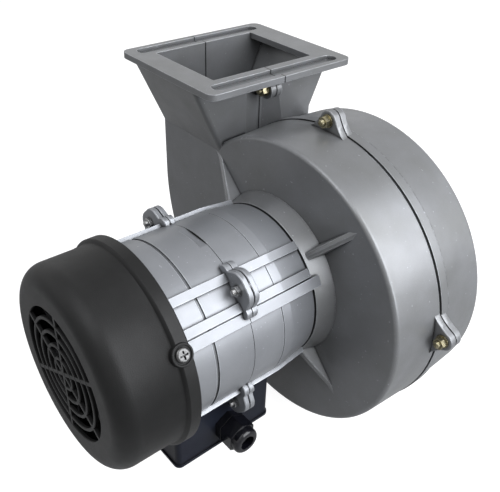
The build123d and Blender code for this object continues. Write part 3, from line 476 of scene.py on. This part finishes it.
def nut_pattern(flats, height, thread):
    """A hexagon nut with the end of its bolt, standing on Z zero."""
    flat = flats / 2
    rim = flat * 0.97
    bore_edge, bore, bore_sink = thread * 1.12, thread * 1.02, 0.0004
    root, pitch = thread * 0.86, thread * 0.32
    level = height - 0.0003
    tip = height + bolt_end
    tip_edge, tip_drop, tip_flat = thread * 0.84, 0.0002, thread * 0.6

    def hexagon(angle):
        return flat / cos((angle + pi / 6) % (pi / 3) - pi / 6)

    def low_corner(angle):
        return hexagon(angle), (hexagon(angle) - rim) * chamfer_slope

    def high_corner(angle):
        return hexagon(angle), height - (hexagon(angle) - rim) * chamfer_slope

    rings = [(rim, 0.0), low_corner, high_corner, (rim, height)]
    rings += [(bore_edge, height), (bore, height - bore_sink)]
    while level < tip - thread_end:
        rings += [(root, level), (thread, level + pitch / 2)]
        level += pitch
    rings += [(tip_edge, tip - tip_drop), (tip_flat, tip)]
    return turned_mesh("nut pattern", rings, nut_sides)


def repeat_tree():
    """Sets one pattern on every point, turned as the point says."""
    tree = bpy.data.node_groups.new("repeat", "GeometryNodeTree")
    inputs = {"Places": "Geometry", "Pattern": "Object", "Size": "Float", "Finish": "Material"}
    for name, kind in inputs.items():
        tree.interface.new_socket(name, in_out="INPUT", socket_type="NodeSocket" + kind)
    tree.interface.new_socket("Pieces", in_out="OUTPUT", socket_type="NodeSocketGeometry")
    given = tree.nodes.new("NodeGroupInput")
    pattern = tree.nodes.new("GeometryNodeObjectInfo")
    turn = tree.nodes.new("GeometryNodeInputNamedAttribute")
    turn.data_type = "FLOAT_VECTOR"
    turn.inputs["Name"].default_value = "turn"
    turned = tree.nodes.new("FunctionNodeEulerToRotation")
    placed = tree.nodes.new("GeometryNodeInstanceOnPoints")
    real = tree.nodes.new("GeometryNodeRealizeInstances")
    finish = tree.nodes.new("GeometryNodeSetMaterial")
    result = tree.nodes.new("NodeGroupOutput")
    for source, output, target, socket in (
            (given, "Pattern", pattern, "Object"),
            (given, "Places", placed, "Points"),
            (pattern, "Geometry", placed, "Instance"),
            (turn, "Attribute", turned, "Euler"),
            (turned, "Rotation", placed, "Rotation"),
            (given, "Size", placed, "Scale"),
            (placed, "Instances", real, "Geometry"),
            (real, "Geometry", finish, "Geometry"),
            (given, "Finish", finish, "Material"),
            (finish, "Geometry", result, "Pieces")):
        tree.links.new(source.outputs[output], target.inputs[socket])
    return tree


repeat = repeat_tree()


def repeated(name, node, pattern, places, turns, material):
    """One pattern at many places, made by geometry nodes and kept as a plain mesh, for a CAD node."""
    mesh = bpy.data.meshes.new(name + " places")
    mesh.from_pydata(places, [], [])
    turn = mesh.attributes.new("turn", "FLOAT_VECTOR", "POINT")
    turn.data.foreach_set("vector", [part for turned in turns for part in turned])
    host = bpy.data.objects.new(name + " places", mesh)
    bpy.context.scene.collection.objects.link(host)
    modifier = host.modifiers.new("repeat", "NODES")
    modifier.node_group = repeat
    sockets = {item.name: item.identifier for item in repeat.interface.items_tree}
    modifier[sockets["Pattern"]] = pattern
    modifier[sockets["Size"]] = 1.0
    modifier[sockets["Finish"]] = material
    made = bpy.data.meshes.new_from_object(host.evaluated_get(bpy.context.evaluated_depsgraph_get()))
    host.modifiers.remove(modifier)
    bpy.data.objects.remove(host)
    bpy.data.objects.remove(pattern)
    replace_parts(place_piece(name, made, nut_sharp_angle), node)


def spots(node, apart=0.012):
    """The middle of each separate solid of a CAD node, seen along the shaft."""
    groups = []
    for vertex in nodes[node].data.vertices:
        place = Vector((vertex.co.x, vertex.co.z))
        near = next((group for group in groups if (place - group[0]).length < apart), None)
        if near is None:
            groups.append([place])
        else:
            near.append(place)
    return [((min(p.x for p in group) + max(p.x for p in group)) / 2,
             (min(p.y for p in group) + max(p.y for p in group)) / 2) for group in groups]


def nuts_in_front(name, node, flats, thread, material):
    """New nuts where a CAD node has its own, facing away from the casing, each turned its own way."""
    low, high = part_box(node)
    pattern = nut_pattern(flats, high.y - low.y, thread)
    places = [(x, high.y, z) for x, z in spots(node)]
    turns = [(pi / 2, pi / 7 * index, 0.0) for index in range(len(places))]
    repeated(name, node, pattern, places, turns, material)


nuts_in_front("casing_nuts", "volute_nuts", flats=0.008, thread=0.0025,
              material=yellow_zinc)
nuts_in_front("clamp_nuts", "motor_clamp_nuts", flats=0.007, thread=0.0021,
              material=dull_zinc)


# Behind the ears show the bolts' round heads, cold headed in steel and bright from their zinc.
# Each shank reaches through both plates of an ear and ends inside its nut.
head_sides = 40
head_edge, head_straight_share, foot_share = 0.0003, 0.3, 0.97
shank_hidden = 0.003


def heads_behind(name, node, shank, head, height, seat):
    """Bolts with a domed head towards the casing's back, in place of a CAD node's."""
    shank_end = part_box(node)[0].y - seat + shank_hidden
    side = height * head_straight_share
    dome = height - side
    rings = [(shank, shank_end), (shank, 0.0)]
    rings += [(head * foot_share, 0.0), (head, head_edge), (head, side)]
    rings += [(head * cos(radians(rise)), side + dome * sin(radians(rise))) for rise in range(15, 90, 15)]
    pattern = turned_mesh("bolt pattern", rings, head_sides)
    places = [(x, seat, z) for x, z in spots(node)]
    turns = [(-pi / 2, 0.0, 0.0)] * len(places)
    repeated(name, node, pattern, places, turns, blue_zinc)


heads_behind("casing_bolts", "volute_bolts", shank=0.0024, head=0.0052, height=0.0032, seat=0.0057)
heads_behind("clamp_bolts", "motor_clamp_bolts", shank=0.0019, head=0.0050, height=0.0028, seat=-0.1161)


# The fan cover is moulded in black plastic with a fine grain and a soft sheen: one cup with a
# raised rim. Its end is a grille of thin rings on six spokes, and three round seats on the rim
# take the screws that hold it to the motor.
def moulded(name, dark, pale, rough, grain_depth, gloss=0.16):
    """Moulded or painted, with a fine even grain and slow clouds in the colour."""
    plastic = new_finish(name, {"Specular IOR Level": gloss})
    grain = plastic.noise(scale=1500.0, detail=2.0)
    cloud = plastic.noise(scale=30.0, detail=4.0)
    sheen = plastic.noise(scale=90.0, detail=5.0) * 0.5 + grain * 0.5
    return plastic.feed({
        "Base Color": plastic.mix(plastic.ramp(cloud, low=0.35, high=0.65), dark, pale),
        "Roughness": plastic.ramp(sheen, low=0.3, high=0.7, start=rough - 0.06, end=rough + 0.06),
        "Normal": plastic.relief(grain, grain_depth, radius=0.0006)})


cover_finish = moulded("black cover", dark=(0.008, 0.008, 0.008), pale=(0.012, 0.012, 0.012),
                       rough=0.44, grain_depth=0.00008)
dress(cover_finish, "fan_cover_washers")

cover_sides, bend_steps, disc_steps, seat_steps = 160, 12, 72, 40
cover_low, cover_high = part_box("fan_cover")
cover_shoulder, cover_radius, cover_wall = 0.014, 0.0733, 0.0025
cover_end, cover_inside = cover_low.y, cover_low.y + cover_wall
rim_radius, rim_back, rim_front = (cover_high.x - cover_low.x) / 2, -0.1815, -0.1725
lip, rim_round, rim_inset = 0.0004, 0.0006, 0.0008
step_start, step_bend, step_end, step_inside = 0.0022, 0.0012, 0.0003, 0.0015
grille_radius, slot_width, bar_width = 0.048, 0.0071, 0.0024
bar_face, bar_edge = cover_end + 0.0001, 0.0004
spoke_face, spoke_edge, spoke_half_width, spoke_overlap = cover_end + 0.0002, 0.0002, 0.00135, 0.001
spoke_angles, seat_angles = range(30, 390, 60), range(30, 390, 120)
seat_y = -0.179
seat_rings = ((0.0077, 0.0722), (0.0075, 0.0769), (0.0071, 0.0774),
              (0.0062, 0.0774), (0.0059, 0.0770), (0.0059, 0.0766))


def revolved(work, profile):
    """Adds a closed profile of (radius, y) points, turned about the shaft."""
    loops = []
    for radius, depth in profile:
        loops.append([work.verts.new((shaft_x + radius * cos(turned), depth, shaft_z + radius * sin(turned)))
                      for turned in full_turn(cover_sides)])
    join_rings(work, loops, ends=False)


def bend(radius, first, last):
    """The cover's shoulder as an arc in (radius, y), between two angles from the shaft's direction."""
    turns = [radians(first + (last - first) * step / bend_steps) for step in range(bend_steps + 1)]
    middle = (cover_radius - cover_shoulder, cover_end + cover_shoulder)
    return [(middle[0] + radius * sin(turned), middle[1] - radius * cos(turned)) for turned in turns]


cup = [(grille_radius, cover_end + lip), (grille_radius + lip, cover_end)]
cup += bend(cover_shoulder, 0.0, 90.0)
cup += [(cover_radius, rim_back - step_start), (cover_radius + rim_round, rim_back - step_bend),
        (rim_radius - rim_inset, rim_back - step_end), (rim_radius, rim_back + rim_round),
        (rim_radius, rim_front - rim_round), (rim_radius - rim_round, rim_front),
        (rim_radius - cover_wall, rim_front), (rim_radius - cover_wall, rim_back),
        (cover_radius - cover_wall, rim_back - step_inside)]
cup += bend(cover_shoulder - cover_wall, 90.0, 0.0)
cup += [(grille_radius, cover_inside)]
cover = bmesh.new()
revolved(cover, cup)
outer = grille_radius - slot_width
while outer - bar_width > slot_width:
    inner = outer - bar_width
    revolved(cover, [(inner, bar_face + bar_edge), (inner + bar_edge, bar_face),
                     (outer - bar_edge, bar_face), (outer, bar_face + bar_edge),
                     (outer, cover_inside), (inner, cover_inside)])
    outer = inner - slot_width
middle_disc = [(shaft_x + outer * cos(turned), shaft_z + outer * sin(turned))
               for turned in full_turn(disc_steps)]
prism(cover, middle_disc, bar_face, cover_inside, bar_edge)
for spoke_angle in spoke_angles:
    out = Vector((cos(radians(spoke_angle)), sin(radians(spoke_angle))))
    side = Vector((-out.y, out.x)) * spoke_half_width
    near, far = out * (outer - spoke_overlap), out * (grille_radius + spoke_overlap)
    corners = (near - side, far - side, far + side, near + side)
    prism(cover, [(shaft_x + corner.x, shaft_z + corner.y) for corner in corners],
          spoke_face, cover_inside, spoke_edge)
for seat_angle in seat_angles:
    out = Vector((cos(radians(seat_angle)), 0.0, sin(radians(seat_angle))))
    side = Vector((-out.z, 0.0, out.x))
    loops = []
    for radius, reach in seat_rings:
        middle = Vector((shaft_x, seat_y, shaft_z)) + out * reach
        loop = []
        for turned in full_turn(seat_steps):
            away = side * radius * cos(turned) + Vector((0.0, radius * sin(turned), 0.0))
            loop.append(cover.verts.new(middle + away))
        loops.append(loop)
    join_rings(cover, loops)
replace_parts(mesh_piece("fan_cover_shell", cover, cover_finish), "fan_cover")


# Inside the cover turns the cooling fan, moulded in dark nylon and pressed on the shaft's end.
# It shows through the grille, and it is a little paler and duller than the cover.
dress(moulded("fan nylon", dark=(0.03, 0.03, 0.032), pale=(0.04, 0.04, 0.042), rough=0.5,
              grain_depth=0.00004), "cooling_fan")


# The terminal box and its lid are painted a dark blue grey with a soft sheen.
# The box is screwed under the motor, and the lid closes it from below.
dress(moulded("box paint", dark=(0.008, 0.009, 0.015), pale=(0.011, 0.013, 0.020), rough=0.33,
              grain_depth=0.00005, gloss=0.10), "terminal_box", "terminal_box_lid")


# The gasket under the box, the lip seal on the shaft and the gland's sealing ring are soft black
# rubber, duller than the plastic round them. Each is squeezed between two harder parts.
dress(moulded("soft rubber", dark=(0.010, 0.010, 0.010), pale=(0.014, 0.014, 0.014), rough=0.62,
              grain_depth=0.00003), "terminal_box_gasket", "shaft_seal", "gland_seal")


# The cable gland is moulded in glossy black nylon: a body through the box's wall, a lock nut
# inside it, and a domed nut outside that squeezes the sealing ring.
dress(moulded("gland nylon", dark=(0.004, 0.004, 0.006), pale=(0.006, 0.006, 0.008), rough=0.14,
              grain_depth=0.00001, gloss=0.36), "gland_body", "gland_lock_nut", "gland_dome_nut")


# The terminal block is moulded in a cream plastic that stands the heat of the motor.
# It is screwed to the floor of the box and carries the studs for the wires.
dress(moulded("block plastic", dark=(0.55, 0.50, 0.42), pale=(0.62, 0.57, 0.48), rough=0.45,
              grain_depth=0.00004), "terminal_block")


# The impeller and the inlet guard are galvanised steel: zinc crystals a few millimetres wide.
# The impeller's sheets are riveted together, and the guard's wires are welded to its ring.
zinc = new_finish("galvanised sheet", {"Metallic": 1.0})
spangle = zinc.node("ShaderNodeTexVoronoi", {}, {"Vector": zinc.object_place(), "Scale": 260.0}, "Color")
flake = zinc.node("ShaderNodeSeparateColor", {}, {"Color": spangle}, "Red")
dress(zinc.feed({
    "Base Color": zinc.mix(zinc.ramp(flake, low=0.0, high=1.0), (0.38, 0.39, 0.40), (0.54, 0.55, 0.57)),
    "Roughness": zinc.ramp(flake, low=0.0, high=1.0, start=0.3, end=0.42),
    "Normal": zinc.relief(zinc.noise(scale=800.0, detail=2.0), depth=0.00003, radius=0.0003)}),
    "inlet_guard", "impeller_hub", "impeller_backplate", "impeller_blades", "impeller_shroud")


# Shaft, bearing rings and balls are ground steel, with the fine rings that the stone leaves
# round the shaft. The bearings are pressed on the shaft and sit in the motor's shells.
steel = new_finish("ground steel", {"Metallic": 1.0})
stretch = {"Vector": steel.object_place(), "Scale": (40.0, 4000.0, 40.0)}
stone = steel.noise(scale=1.0, detail=2.0, place=steel.node("ShaderNodeMapping", {}, stretch, "Vector"))
dress(steel.feed({
    "Base Color": steel.mix(stone, (0.52, 0.52, 0.53), (0.60, 0.60, 0.61)),
    "Roughness": steel.ramp(stone, low=0.2, high=0.8, start=0.16, end=0.3),
    "Normal": steel.relief(stone, depth=0.00001, radius=0.0002)}),
    "motor_shaft", "front_bearing_outer_ring", "rear_bearing_outer_ring", "bearing_wave_washer",
    "front_bearing_inner_ring", "rear_bearing_inner_ring", "front_bearing_balls", "rear_bearing_balls")


# The stator and rotor cores are stacks of thin steel sheets, pressed together across the shaft.
# The stator sits in the motor's shells, and the rotor is pressed on the shaft.
stack = new_finish("laminated steel", {"Metallic": 0.9})
layers = stack.node("ShaderNodeTexWave", {"bands_direction": "Y", "wave_profile": "SIN"},
                    {"Vector": stack.object_place(), "Scale": 320.0}, "Fac")
dress(stack.feed({
    "Base Color": stack.mix(layers, (0.13, 0.13, 0.14), (0.25, 0.25, 0.26)),
    "Roughness": stack.ramp(layers, low=0.0, high=1.0, start=0.5, end=0.38),
    "Normal": stack.relief(layers, depth=0.00008)}),
    "stator_core", "rotor_core", "rotor_end_rings")


# The windings are copper wire in red brown enamel, wound through the core's slots.
# They lie inside the motor's shells, so they show only when the motor is open.
coil = new_finish("enamelled copper", {"Metallic": 0.6})
wires = coil.node("ShaderNodeTexWave", {"bands_direction": "DIAGONAL"},
                  {"Vector": coil.object_place(), "Scale": 260.0}, "Fac")
dress(coil.feed({
    "Base Color": coil.mix(wires, (0.20, 0.06, 0.02), (0.42, 0.15, 0.05)),
    "Roughness": coil.ramp(wires, low=0.0, high=1.0, start=0.4, end=0.25),
    "Normal": coil.relief(wires, depth=0.0002)}), "stator_windings")


# The terminal studs are turned brass, pressed into the block.
# They carry the wires, so they are bare and bright, with a few darker stains.
dress(plated("stud brass", colour=(0.60, 0.44, 0.18), tinge=(0.68, 0.51, 0.24), rough=0.25),
      "terminal_studs")


# A plain pale floor under the lowest point takes the shadow. It is its own colour to the lamps,
# and glows for the camera and, more weakly, in reflections, so that it stays white round the object.
floor_height = cad_box[0].z - 0.0005
floor_reach = 6.0
floor_glow, mirrored_share = 0.90, 0.2


def ray_kinds(finish):
    """One for a ray from the camera, from a reflection, and from a clear body, else nought."""
    return [finish.node("ShaderNodeLightPath", {}, {}, output)
            for output in ("Is Camera Ray", "Is Glossy Ray", "Is Transmission Ray")]


floor_mesh = bpy.data.meshes.new("floor")
floor_mesh.from_pydata([(x * floor_reach, y * floor_reach, floor_height)
                        for x, y in ((-1, -1), (1, -1), (1, 1), (-1, 1))], [], [(0, 1, 2, 3)])
floor = bpy.data.objects.new("floor", floor_mesh)
bpy.context.scene.collection.objects.link(floor)
paper = new_finish("pale floor", {"Roughness": 0.9, "Specular IOR Level": 0.1, "Emission Strength": 1.0})
direct, mirrored, passed = ray_kinds(paper)
floor_mesh.materials.append(paper.feed({
    "Base Color": paper.mix(paper.noise(scale=40.0, detail=3.0), (0.30, 0.30, 0.30), (0.32, 0.32, 0.32)),
    "Emission Color": paper.ramp(direct + mirrored * mirrored_share + passed, low=0.0, high=1.0,
                                 start=0.0, end=floor_glow)}))


# The studio round it is plain white to the camera and in reflections. As a light it is dim,
# so that the softboxes shape the object.
world = bpy.data.worlds.new("studio")
bpy.context.scene.world = world
studio = Finish(world, "Background", {"Color": (1.0, 1.0, 1.0, 1.0)})
direct, mirrored, passed = ray_kinds(studio)
studio.feed({"Strength": studio.ramp(direct + mirrored + passed, low=0.0, high=1.0, start=0.25, end=1.0)})


# Four softboxes look at the middle of the blower: the key lamp at the right, behind, a weaker one
# overhead, one low at the right for the motor's flank, and a faint one at the left for the cover.
centre = (cad_box[0] + cad_box[1]) / 2
daylight = (0.945, 0.965, 1.0)


def lamp(name, direction, distance, size, power):
    light = bpy.data.lights.new(name, "AREA")
    light.size = size
    light.energy = power
    light.color = daylight
    holder = bpy.data.objects.new(name, light)
    aim = Vector(direction).normalized()
    holder.location = centre + aim * distance
    holder.rotation_mode = "QUATERNION"
    holder.rotation_quaternion = aim.to_track_quat("Z", "Y")
    bpy.context.scene.collection.objects.link(holder)


lamp("key", direction=(0.81, 0.33, 0.59), distance=1.5, size=1.4, power=41.0)
lamp("top", direction=(0.05, -0.60, 1.0), distance=1.6, size=1.2, power=14.0)
lamp("low", direction=(0.95, 0.30, 0.0), distance=1.5, size=0.8, power=7.0)
lamp("left", direction=(-0.7, -0.8, 0.5), distance=1.8, size=1.0, power=1.2)


# The camera stands where the photograph was taken: half a metre off, above the motor's right side.
# Its angles, lens and place were fitted to the photograph's straight edges and circles.
azimuth, height_angle, roll = radians(49.004), radians(34.416), 0.03528
camera_place = (0.41492, -0.33545, 0.17427)
sensor_width, lens_length, nearest = 36.0, 47.04, 0.01
back = Vector((sin(azimuth) * cos(height_angle), -cos(azimuth) * cos(height_angle), sin(height_angle)))
level = Vector((cos(azimuth), sin(azimuth), 0.0))
upright = back.cross(level)
across = cos(roll) * level + sin(roll) * upright
above = cos(roll) * upright - sin(roll) * level
camera_data = bpy.data.cameras.new("camera")
camera_data.sensor_width = sensor_width
camera_data.lens = lens_length
camera_data.clip_start = nearest
camera = bpy.data.objects.new("camera", camera_data)
bpy.context.scene.collection.objects.link(camera)
turned_as = Matrix((across, above, back)).transposed().to_4x4()
camera.matrix_world = Matrix.Translation(camera_place) @ turned_as
bpy.context.scene.camera = camera
bpy.context.scene.view_settings.view_transform = "Standard"
